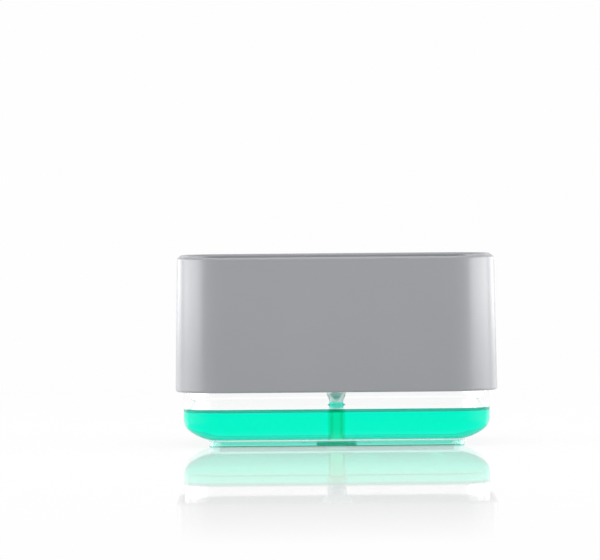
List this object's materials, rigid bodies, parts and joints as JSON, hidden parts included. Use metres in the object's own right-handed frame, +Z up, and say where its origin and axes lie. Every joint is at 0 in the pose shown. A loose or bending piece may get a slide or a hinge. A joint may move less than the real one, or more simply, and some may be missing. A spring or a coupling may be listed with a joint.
{
  "type": "soap pump caddy",
  "caption": "Sponge holder on a clear soap tank: pressing the slotted plate works a lotion pump that brings soap up through the plate.",
  "frame": {"origin": "centre of the foot plane, under the middle of the tank", "axes": "+X along the width, -Y to the front, +Z up"},
  "size_m": [0.146, 0.098, 0.086],
  "materials": {
    "clear_tank": "clear polished plastic",
    "liquid_soap": "clear turquoise-green liquid",
    "housing_grey": "glossy moulded",
    "plate_grey": "satin moulded",
    "pump_white": "satin moulded",
    "natural_plastic": "translucent natural plastic",
    "seal_rubber": "soft moulded",
    "valve_silicone": "soft translucent",
    "steel_ball": "polished",
    "spring_steel": "drawn wire"
  },
  "bodies": {
    "base": {"tank": "clear_tank", "soap": "liquid_soap"},
    "cover": {"housing": "housing_grey", "tank_seal": "seal_rubber", "pump_gasket": "seal_rubber", "pump_cylinder": "natural_plastic", "guide_collar": "pump_white", "stem_wiper": "seal_rubber", "screw_collar": "pump_white", "dip_tube": "natural_plastic", "ball_cage": "pump_white", "return_spring": "spring_steel"},
    "plunger": {"piston": "natural_plastic", "piston_rod": "pump_white", "pump_stem": "pump_white", "pump_head": "pump_white", "outlet_valve": "valve_silicone"},
    "plate": {"press_plate": "plate_grey"},
    "inlet_valve": {"inlet_ball": "steel_ball"},
    "outlet_check": {"outlet_ball": "steel_ball"}
  },
  "joints": [
    {"name": "cover_lift", "type": "slide", "parent": "base", "child": "cover", "axis": [0, 0, 1], "range_m": [0, 0.06]},
    {"name": "plunger_press", "type": "slide", "parent": "cover", "child": "plunger", "axis": [0, 0, -1], "range_m": [0, 0.012], "stiffness_N_per_m": 600, "springref_m": -0.006, "deforming": ["return_spring"]},
    {"name": "plate_lift", "type": "slide", "parent": "plunger", "child": "plate", "axis": [0, 0, 1], "range_m": [0, 0.03]},
    {"name": "inlet_ball_lift", "type": "slide", "parent": "cover", "child": "inlet_valve", "axis": [0, 0, 1], "range_m": [0, 0.0018]},
    {"name": "outlet_ball_lift", "type": "slide", "parent": "plunger", "child": "outlet_check", "axis": [0, 0, 1], "range_m": [0, 0.0018]}
  ]
}
